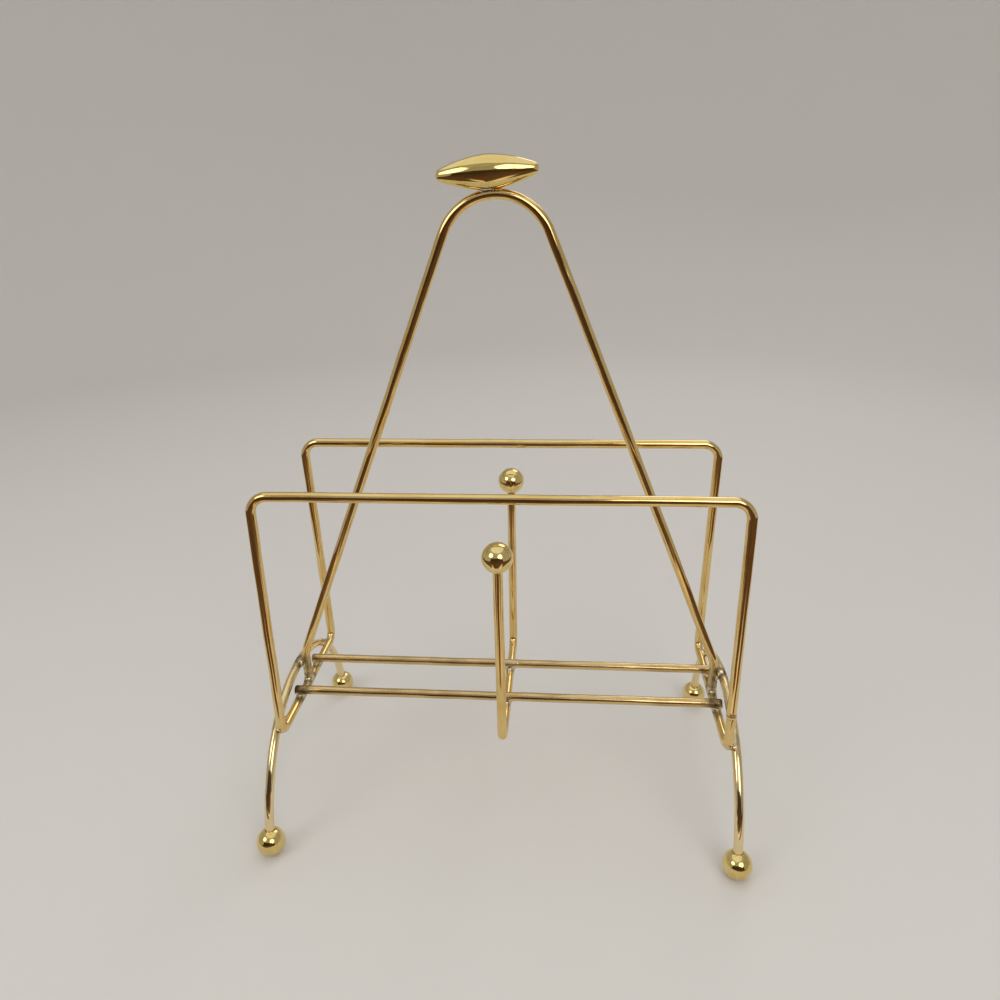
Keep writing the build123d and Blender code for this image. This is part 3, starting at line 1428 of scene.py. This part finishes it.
@dataclass(frozen=True)
class Divider:
    """A U of wire under the cross rails, with a ball on each tip.

    Attributes:
        foot_depth: Between the lower corners.
        bend: Bend radius of the corners.
        filler: Braze run in wide under the cross rails.
    """

    foot_depth: float = 74.4
    bend: float = 5.0
    filler: Filler = Filler(blend=3.0, proud=0.08, reach=4.2, lumps=0.05)

    def joints(self, cradle: Cradle) -> list[tuple[str, Array]]:
        """Each brazed crossing with a cross rail.

        Args:
            cradle: Cradle that carries the rails.

        Returns:
            Cross rail and middle of each joint.
        """
        across = node_middle("divider_wire")[0]
        return [(name, cradle.touch(name, across)) for name in (FRONT_RAIL, REAR_RAIL)]

    def build(self, shop: Workshop, cradle: Cradle, legs: Legs) -> None:
        """Bends the divider, turns its balls and brazes it to the cross rails.

        Args:
            shop: Workshop that writes the pieces.
            cradle: Cradle that carries the divider.
            legs: Legs, which have the same balls.
        """
        radius = cradle.radius()
        top = node_box("rear_divider_ball")[1][2]
        ball = vector(*node_middle("rear_divider_ball")[:2], top - legs.ball_radius())
        corner = vector(ball[0], self.foot_depth / 2, cradle.rail_height())
        down = unit(corner - ball)
        tip = ball + down * legs.tip_rise()
        front = vector(1, -1, 1)
        route = bent_route([tip * front, corner * front, corner, tip], [self.bend, self.bend])
        shop.piece("divider_wire", Finish.WIRE, [WireStock(radius).skin(route, Seed.DIVIDER)])
        for name, flip in (("front_divider_ball", front), ("rear_divider_ball", vector(1, 1, 1))):
            shop.piece(name, Finish.BALL, [legs.ball(ball * flip, down * flip, radius)])
        bar = Rod(vector(ball[0], 0, cradle.rail_height()), ALONG_Y, radius)
        beads = [
            self.filler.skin(place, ALONG_X, [bar, cradle.cross_rod(name)], Seed.DIVIDER_BEADS + number)
            for number, (name, place) in enumerate(self.joints(cradle))
        ]
        shop.piece("divider_braze", Finish.BRAZE, beads)


@dataclass(frozen=True)
class Handle:
    """Slanted legs under a round crown, standing on the bottom rails, with a turned knob.

    Attributes:
        crown: Radius of the crown.
        tail: Where the slanted legs turn down, above the bottom rails.
        bend: Bend radius there.
        knob_length: Length of the knob.
        knob_diameter: Its greatest diameter, at the crest.
        knob_flank: Radius of the swell between crest and tip.
        knob_tip: Radius of the round tips.
        knob_tilt: Tilt of the knob, in degrees.
        knob_ripple: Unevenness that polishing leaves on it.
        crest_wear: Height that polishing has taken off the crest.
        saddle_gap: Room between the crown and the saddle filed for it.
        solder: Solder in the saddle.
        solder_drop: From the top of the crown down to the middle of the solder.
    """

    crown: float = 21.7
    tail: float = 16.3
    bend: float = 20.0
    knob_length: float = 37.4
    knob_diameter: float = 12.2
    knob_flank: float = 52.0
    knob_tip: float = 2.4
    knob_tilt: float = 2.9
    knob_ripple: float = 0.006
    crest_wear: float = 0.03
    saddle_gap: float = 0.1
    solder: Filler = Filler(blend=1.5, proud=0.08, reach=2.1, lumps=0.06)
    solder_drop: float = 0.35

    def end(self) -> float:
        """Height of the handle's ends."""
        return node_box("handle_wire")[0][2]

    def hub(self, cradle: Cradle) -> Array:
        """Centre of the crown."""
        return vector(0, 0, node_box("handle_wire")[1][2] - cradle.radius() - self.crown)

    def corners(self, cradle: Cradle) -> list[Array]:
        """Corners of the handle, from left to right.

        Args:
            cradle: Cradle that carries the handle.

        Returns:
            End, bend, meeting point of the legs, bend and end.
        """
        wide = cradle.half_width()
        foot = vector(wide, 0, self.end())
        turn = vector(wide, 0, cradle.rail_height() + self.tail)
        reach = turn - self.hub(cradle)
        angle = math.atan2(reach[2], reach[0]) + math.acos(self.crown / np.linalg.norm(reach))
        peak = self.hub(cradle) + vector(0, 0, self.crown / math.sin(angle))
        left = vector(-1, 1, 1)
        return [foot * left, turn * left, peak, turn, foot]

    def knob_centre(self) -> Array:
        """Middle of the knob, from the top of its crest."""
        rise = self.knob_diameter / 2 * math.cos(math.radians(self.knob_tilt))
        return vector(node_middle("handle_knob")[0], 0, node_box("handle_knob")[1][2] - rise)

    def knob_axis(self) -> Array:
        """Direction of the knob's axis."""
        tilt = math.radians(self.knob_tilt)
        return vector(math.cos(tilt), 0, math.sin(tilt))

    def knob_profile(self) -> Array:
        """Height and radius along the knob: tip arc, swelling flank, crest and the same back.

        The flank is an arc through the crest that touches the tip's circle from outside.

        Returns:
            Rows of falling height and their radius.
        """
        crest = self.knob_diameter / 2
        tip = self.knob_length / 2 - self.knob_tip
        run = math.hypot(tip, crest)
        inner = self.knob_flank - self.knob_tip
        spread = math.acos((run**2 + self.knob_flank**2 - inner**2) / (2 * run * self.knob_flank))
        angle = math.atan2(-crest, tip) - spread
        hub = (self.knob_flank * math.cos(angle), crest + self.knob_flank * math.sin(angle))
        touch = math.atan2(-hub[1], tip - hub[0])
        flank = arc(hub, self.knob_flank, touch, angle + math.pi, FLANK_ROWS)
        nose = arc((tip, 0), self.knob_tip, 0, touch, NOSE_ROWS)
        half = np.concatenate((nose, flank[1:]))
        half[-1, 1] -= self.crest_wear
        return np.concatenate((half, half[-2::-1] * (-1, 1)))

    def knob_skin(self, cradle: Cradle) -> Skin:
        """Turned knob, with a saddle pressed up into its underside where the crown passes.

        A point inside the saddle's tube is raised to the top of that tube, which at depth y has the
        height hub + sqrt((crown + sqrt(r^2 - y^2))^2 - x^2).

        Args:
            cradle: Cradle, which has the same wire.

        Returns:
            The closed surface.
        """
        profile, middle, axis = self.knob_profile(), self.knob_centre(), self.knob_axis()
        skin = lathe(profile, middle, axis, KNOB_AROUND, self.knob_ripple)
        rings = skin.rings.copy()
        offset = rings - self.hub(cradle)
        room = np.maximum((cradle.radius() + self.saddle_gap) ** 2 - offset[..., 1] ** 2, 0)
        ceiling = np.sqrt(np.maximum((self.crown + np.sqrt(room)) ** 2 - offset[..., 0] ** 2, 0))
        inside = (room > 0) & (offset[..., 2] < ceiling)
        rings[..., 2] += np.where(inside, ceiling - offset[..., 2], 0)
        return replace(skin, rings=rings)

    def seat(self, cradle: Cradle) -> Array:
        """Place on top of the crown under the middle of the knob.

        Args:
            cradle: Cradle, which has the same wire.

        Returns:
            The place.
        """
        across = self.knob_centre()[0]
        rim = self.crown + cradle.radius()
        return self.hub(cradle) + vector(across, 0, math.sqrt(rim**2 - across**2))

    def joints(self, cradle: Cradle, legs: Legs) -> list[tuple[int, Array, Array]]:
        """Each foot of the handle.

        Args:
            cradle: Cradle that carries the handle.
            legs: Legs whose arches it touches.

        Returns:
            Side, middle of the joint at its end and middle of the joint with the arch.
        """
        wide = cradle.half_width()
        end = (cradle.rail_height() + cradle.radius() + self.end()) / 2
        _, top, _ = legs.arch(cradle.radius())
        flank = (legs.foot()[0] + wide) / 2
        return [(side, vector(side * wide, 0, end), vector(side * flank, 0, top)) for side in SIDES]

    def build(self, shop: Workshop, cradle: Cradle, legs: Legs) -> None:
        """Bends the handle, turns the knob, brazes the feet and solders the knob.

        Args:
            shop: Workshop that writes the pieces.
            cradle: Cradle that carries the handle.
            legs: Legs whose arches it touches.
        """
        radius = cradle.radius()
        route = bent_route(self.corners(cradle), [self.bend, self.crown, self.bend])
        shop.piece("handle_wire", Finish.WIRE, [WireStock(radius).skin(route, Seed.HANDLE)])
        shop.piece("handle_knob", Finish.KNOB, [self.knob_skin(cradle)])
        filler = Filler()
        beads = []
        for number, (side, end, flank) in enumerate(self.joints(cradle, legs)):
            tail = Rod(vector(side * cradle.half_width(), 0, self.end()), ALONG_Z, radius, 0.0)
            arch = Rod(vector(side * legs.foot()[0], 0, flank[2]), ALONG_Y, radius)
            beads.append(filler.skin(end, ALONG_Y, [cradle.rail(side), tail], Seed.FOOT_BEADS + number))
            beads.append(filler.skin(flank, ALONG_Y, [tail, arch], Seed.FLANK_BEADS + number))
        shop.piece("handle_braze", Finish.BRAZE, beads)
        hoop = Hoop(self.hub(cradle), self.crown, radius)
        knob = Spindle(self.knob_centre(), self.knob_axis(), self.knob_profile()[::-1])
        middle = self.seat(cradle) - vector(0, 0, self.solder_drop)
        bead = self.solder.skin(middle, ALONG_Z, [hoop, knob], Seed.SOLDER)
        shop.piece("knob_solder", Finish.SOLDER, [bead])


# Studio

SHEET_ROUGHNESS = 0.7
CURVE_ROWS = 16
CARD_COLUMNS = 17
FLOOR_ROWS = 12
COVE_ROWS = 24
COVE_AROUND = 96


def placed(side: Array, up: Array, back: Array, place: Array) -> Matrix:
    """Matrix of an object with these axes at a place in metres."""
    rows = np.column_stack((side, up, back, place)).tolist()
    return Matrix([*rows, [0, 0, 0, 1]])


@dataclass(frozen=True)
class Lamp:
    """Soft round lamp aimed at the middle of the stand.

    Attributes:
        name: Name of the lamp.
        place: Where it hangs, in metres.
        width: Diameter, in metres.
        power: Power in watts.
        colour: Colour of its light.
    """

    name: str
    place: Triple
    width: float
    power: float
    colour: Triple

    def build(self, aim: Array) -> None:
        """Hangs the lamp.

        Args:
            aim: Place that it faces, in metres.
        """
        data = bpy.data.lights.new(self.name, "AREA")
        data.shape = "DISK"
        data.size = self.width
        data.energy = self.power
        data.color = self.colour
        made = linked(self.name, data)
        back = unit(np.array(self.place) - aim)
        side = unit(np.cross(ALONG_Y, back))
        made.matrix_world = placed(side, np.cross(back, side), back, np.array(self.place))
        made.visible_camera = False


@dataclass(frozen=True)
class HighlightStrip:
    """Glowing strip across the reflection card: a painted highlight that polished metal shows.

    Attributes:
        normal: Direction square to the strip, on the floor.
        offset: Distance from the middle of the stand, in metres.
        width: Half the strip's width, in metres.
    """

    normal: Triple
    offset: float
    width: float


@dataclass(frozen=True)
class ReflectionCard:
    """Dark banded card that curves up from the floor in front of the picture: a painted reflection.

    It stands outside the picture, casts no shadow, and only polished metal sees it, where its bands
    paint dark reflections and its strips paint highlights. Lengths are in metres.

    Attributes:
        near: Depth of the near edge, in front of the picture.
        middle: Depth of a row between that edge and the curve.
        curve: Depth where the card begins to curve up.
        curve_radius: Radius of the curve.
        height: Top of the card.
        half_width: From the middle to a side.
        wing: From the middle to where the near edge sweeps back past the picture's side.
        sweep: How far it goes back for each metre to the side.
        lift: Height over the floor.
        near_reflection_colour: Colour of the nearer bands, a painted dark reflection.
        far_reflection_colour: Colour of the further bands, a darker painted reflection.
        reflection_darkening: Depths over which the painted reflection darkens.
        strips: Glowing strips across the card, painted highlights.
        highlight_glow_colour: Light of the strips, a painted highlight.
        strip_fade: Depths over which the strips fade in, towards the stand.
    """

    near: float = -0.13
    middle: float = -0.4
    curve: float = -0.62
    curve_radius: float = 0.25
    height: float = 0.46
    half_width: float = 0.8
    wing: float = 0.26
    sweep: float = 1.4
    lift: float = 0.0006
    near_reflection_colour: Triple = (0.130, 0.048, 0.009)
    far_reflection_colour: Triple = (0.048, 0.019, 0.005)
    reflection_darkening: tuple[float, float] = (-0.15, -0.8)
    strips: tuple[HighlightStrip, ...] = (
        HighlightStrip((0.74, 0.67, 0.0), -0.050, 0.044),
        HighlightStrip((-0.80, 0.60, 0.0), -0.040, 0.024),
    )
    highlight_glow_colour: Triple = (0.90, 0.76, 0.60)
    strip_fade: tuple[float, float] = (-0.32, -0.20)

    def build(self) -> None:
        """Draws a profile of depth and height out along X, with the near edge swept back at both sides."""
        bend = arc((self.curve, self.curve_radius), self.curve_radius, -math.pi / 2, -math.pi, CURVE_ROWS)
        ends = [[(self.near, 0.0), (self.middle, 0.0)], [(self.curve - self.curve_radius, self.height)]]
        profile = np.concatenate((ends[0], bend, ends[1]))
        across = np.linspace(-self.half_width, self.half_width, CARD_COLUMNS)
        depth, wide = np.meshgrid(profile[:, 0], across, indexing="ij")
        depth[0] += self.sweep * np.maximum(np.abs(across) - self.wing, 0)
        tall = np.broadcast_to(profile[:, 1:] + self.lift, depth.shape)
        points = np.stack((wide, depth, tall), axis=-1).reshape(-1, 3)
        quads = grid_quads(*depth.shape, False)[:, ::-1]
        made = mesh_object("painted_reflection_card", points, quads.tolist(), self.sheet_material())
        # Seen only by polished metal: the card is a painted dark reflection and casts no shadow.
        made.visible_camera = False
        made.visible_diffuse = False
        made.visible_shadow = False

    def sheet_material(self) -> bpy.types.Material:
        """Painted reflection: dark brown with soft bands that run along X and darken away from the stand.

        Returns:
            The material.
        """
        made, graph = new_material("painted_reflection_sheet")
        places = graph.signal(graph.node("ShaderNodeTexCoord", {}, {}), "Object")
        depth = graph.axis(places, "Y")
        bands = graph.grain(places, Grain.BANDS)
        # Painted dark reflection: brown bands that darken away from the stand.
        share = (depth.ramp(*self.reflection_darkening) * 0.6 + bands.ramp(0.35, 0.65) * 0.5).capped()
        colour = graph.mixed(share, self.near_reflection_colour, self.far_reflection_colour)
        # Each strip glows though it is no lamp: a painted highlight that polished metal shows as a pale
        # streak.
        glow: Any = (0.0, 0.0, 0.0)
        for strip in self.strips:
            sockets = {0: places, 1: strip.normal}
            along = graph.node("ShaderNodeVectorMath", {"operation": "DOT_PRODUCT"}, sockets)
            offset = abs(graph.signal(along, "Value") - strip.offset)
            share = offset.ramp(strip.width, 0.0) * depth.ramp(*self.strip_fade)
            glow = graph.mixed(share, glow, self.highlight_glow_colour)
        light = {"Emission Color": glow, "Emission Strength": 1.0}
        graph.surface({"Base Color": colour, "Roughness": SHEET_ROUGHNESS, **light})
        return made


@dataclass(frozen=True)
class Studio:
    """Pale round cove, a card that paints dark reflections and highlights, soft lamps and the camera.

    Attributes:
        hub_radius: Single flat face in the middle of the floor, in metres.
        floor_radius: Flat part of the cove, in metres.
        cove_radius: Curve between floor and wall, in metres.
        wall_height: Top of the wall, in metres.
        floor_colour: Colour of the cove.
        sky_low: Colour of the world at the horizon.
        sky_high: Colour of the world overhead.
        sky_rise: Heights between which it brightens.
        card: Card in front of the picture, seen only in the metal: painted reflections.
        lamps: Lamps around the stand.
        camera_place: Place of the camera, in millimetres.
        camera_pitch: Turn of the camera down, in radians.
        camera_yaw: Turn of the camera about the upright axis, in radians.
        camera_roll: Turn of the picture, in radians.
        focal: Focal length in pixels of the picture.
        sensor: Width of the camera's sensor, in millimetres.
        clip: Nearest distance that the camera shows, in metres.
    """

    hub_radius: float = 0.02
    floor_radius: float = 1.05
    cove_radius: float = 0.55
    wall_height: float = 1.3
    floor_colour: Triple = (0.80, 0.78, 0.75)
    sky_low: Triple = (0.35, 0.345, 0.336)
    sky_high: Triple = (0.42, 0.415, 0.405)
    sky_rise: tuple[float, float] = (0.1, 0.9)
    card: ReflectionCard = ReflectionCard()
    lamps: tuple[Lamp, ...] = (
        Lamp("key_lamp", (0.40, -0.76, 0.63), 0.63, 2.3, (1.0, 0.97, 0.93)),
        Lamp("left_lamp", (-0.64, -0.56, 0.67), 0.50, 1.4, (1.0, 0.98, 0.95)),
        Lamp("top_lamp", (0.0, 0.10, 1.20), 1.60, 2.8, (1.0, 0.99, 0.97)),
        Lamp("back_lamp", (0.35, 0.95, 0.90), 0.56, 1.2, (1.0, 0.99, 0.97)),
    )
    camera_place: Triple = (25.07, -290.26, 266.79)
    camera_pitch: float = 0.3963
    camera_yaw: float = 0.0889
    camera_roll: float = -0.0231
    focal: float = 743.8
    sensor: float = 36.0
    clip: float = 0.01

    def build(self) -> None:
        """Sets up the cove, the card, the lamps, the world, the camera and the view."""
        self.cove()
        self.card.build()
        middle = np.array(CAD_BOX[0] + CAD_BOX[1]) / 2
        for lamp in self.lamps:
            lamp.build(middle)
        self.sky()
        self.camera()
        bpy.context.scene.view_settings.view_transform = "Standard"

    def cove(self) -> None:
        """Floor, curve and wall as one turned sheet of matt paper, open at the top."""
        bend = arc((self.floor_radius, self.cove_radius), self.cove_radius, -math.pi / 2, 0, COVE_ROWS)
        flat = np.linspace(self.hub_radius, self.floor_radius, FLOOR_ROWS, endpoint=False)
        rim = (self.floor_radius + self.cove_radius, self.wall_height)
        profile = np.concatenate((np.stack((flat, 0 * flat), axis=-1), bend, [rim]))
        rings = stacked(circle(COVE_AROUND), *profile.T)
        quads = grid_quads(*rings.shape[:2], True)[:, ::-1]
        hub = list(range(rings.shape[1]))
        sheet_material, graph = new_material("cove_paper")
        matt = {"Roughness": SHEET_ROUGHNESS, "Specular IOR Level": 0.0}
        graph.surface({"Base Color": (*self.floor_colour, 1.0), **matt})
        mesh_object("cove", rings.reshape(-1, 3), [*quads.tolist(), hub], sheet_material)

    def sky(self) -> None:
        """World that brightens from the horizon to overhead."""
        world = bpy.data.worlds.new("studio_world")
        world.use_nodes = True
        graph = Graph(world.node_tree)
        places = graph.signal(graph.node("ShaderNodeTexCoord", {}, {}), "Generated")
        height = graph.axis(places, "Z")
        colour = graph.mixed(height.ramp(*self.sky_rise), self.sky_low, self.sky_high)
        light = graph.node("ShaderNodeBackground", {}, {"Color": colour, "Strength": 1.0})
        graph.node("ShaderNodeOutputWorld", {}, {"Surface": graph.signal(light)})
        bpy.context.scene.world = world

    def camera(self) -> None:
        """Camera at the photograph's viewing angle.

        The stand is turned by yaw about its upright axis, by pitch about the picture's level axis and by
        roll about the line of sight, and the rows of that turn are the camera's right, down and forward.
        """
        spins = (("Z", self.camera_roll), ("X", self.camera_pitch), ("Y", self.camera_yaw))
        turns = [np.array(Matrix.Rotation(angle, 3, axis)) for axis, angle in spins]
        right, down, forward = reduce(np.matmul, [*turns, np.stack((ALONG_X, -ALONG_Z, ALONG_Y))])
        data = bpy.data.cameras.new("photo_camera")
        data.sensor_width = self.sensor
        data.lens = self.sensor * self.focal / IMAGE_WIDTH
        data.clip_start = self.clip
        made = linked("photo_camera", data)
        made.matrix_world = placed(right, -down, -forward, np.array(self.camera_place) * MM)
        bpy.context.scene.camera = made


def main() -> None:
    """Builds the stand and the studio."""
    logging.basicConfig(level=logging.INFO, format="%(name)s: %(message)s")
    cradle, legs, divider, handle = Cradle(), Legs(), Divider(), Handle()
    heated = {
        Torch.HARD: [place for _, name, place in cradle.crossings() if name == FRONT_RAIL],
        Torch.EVEN: [place for _, *places in handle.joints(cradle, legs) for place in places],
        Torch.MILD: [place for _, name, place in cradle.crossings() if name == REAR_RAIL],
        Torch.SOFT: [place for *_, place in legs.joints(cradle) + divider.joints(cradle)],
        Torch.FAINT: [handle.seat(cradle)],
        Torch.SEAM: [cradle.weld()[0]],
    }
    joints = [(*place, *torch.value) for torch, places in heated.items() for place in places]
    shop = Workshop(np.array(joints))
    cradle.build(shop)
    legs.build(shop, cradle)
    divider.build(shop, cradle, legs)
    handle.build(shop, cradle, legs)
    Studio().build()
    bpy.context.view_layer.update()


if __name__ == "__main__":
    main()
